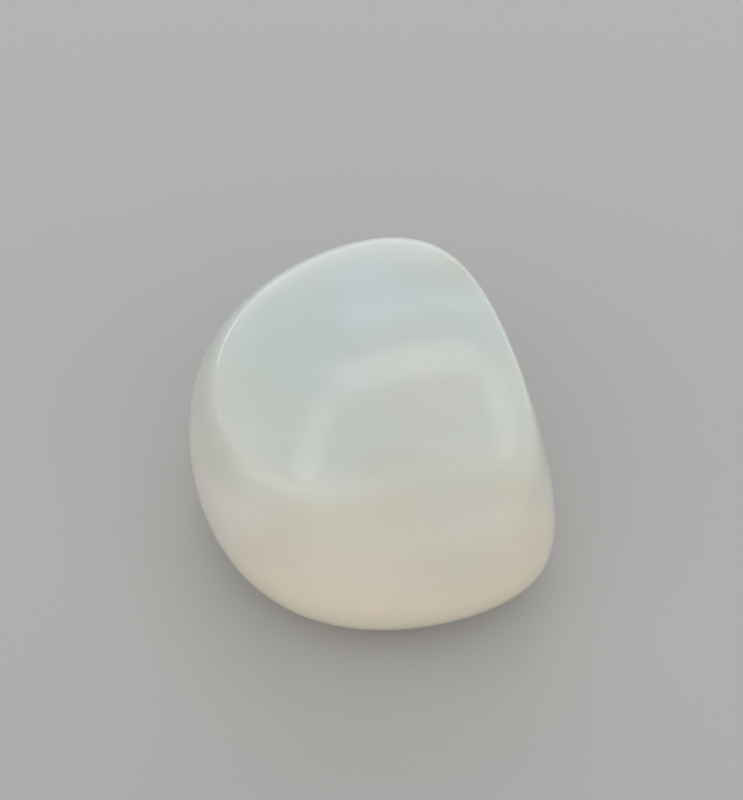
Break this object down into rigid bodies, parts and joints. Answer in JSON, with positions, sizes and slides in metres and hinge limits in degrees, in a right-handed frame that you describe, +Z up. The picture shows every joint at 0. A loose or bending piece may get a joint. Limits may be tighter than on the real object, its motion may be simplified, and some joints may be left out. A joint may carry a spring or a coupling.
{
  "type": "tumbled moonstone",
  "caption": "Tumble-polished milky moonstone with a broad, gently domed top face, rounded sides and a small flat underside to rest on.",
  "frame": {"origin": "under the middle of the stone's box, on the surface that the stone rests on", "axes": "+Z up, -Y towards the side that the picture is taken from, +X to the right there and +Y along the stone's length"},
  "size_m": [0.0148, 0.0166, 0.0099],
  "materials": {
    "moonstone": "polished, milky and slightly translucent"
  },
  "bodies": {
    "root": {"moonstone": "moonstone"}
  },
  "joints": []
}
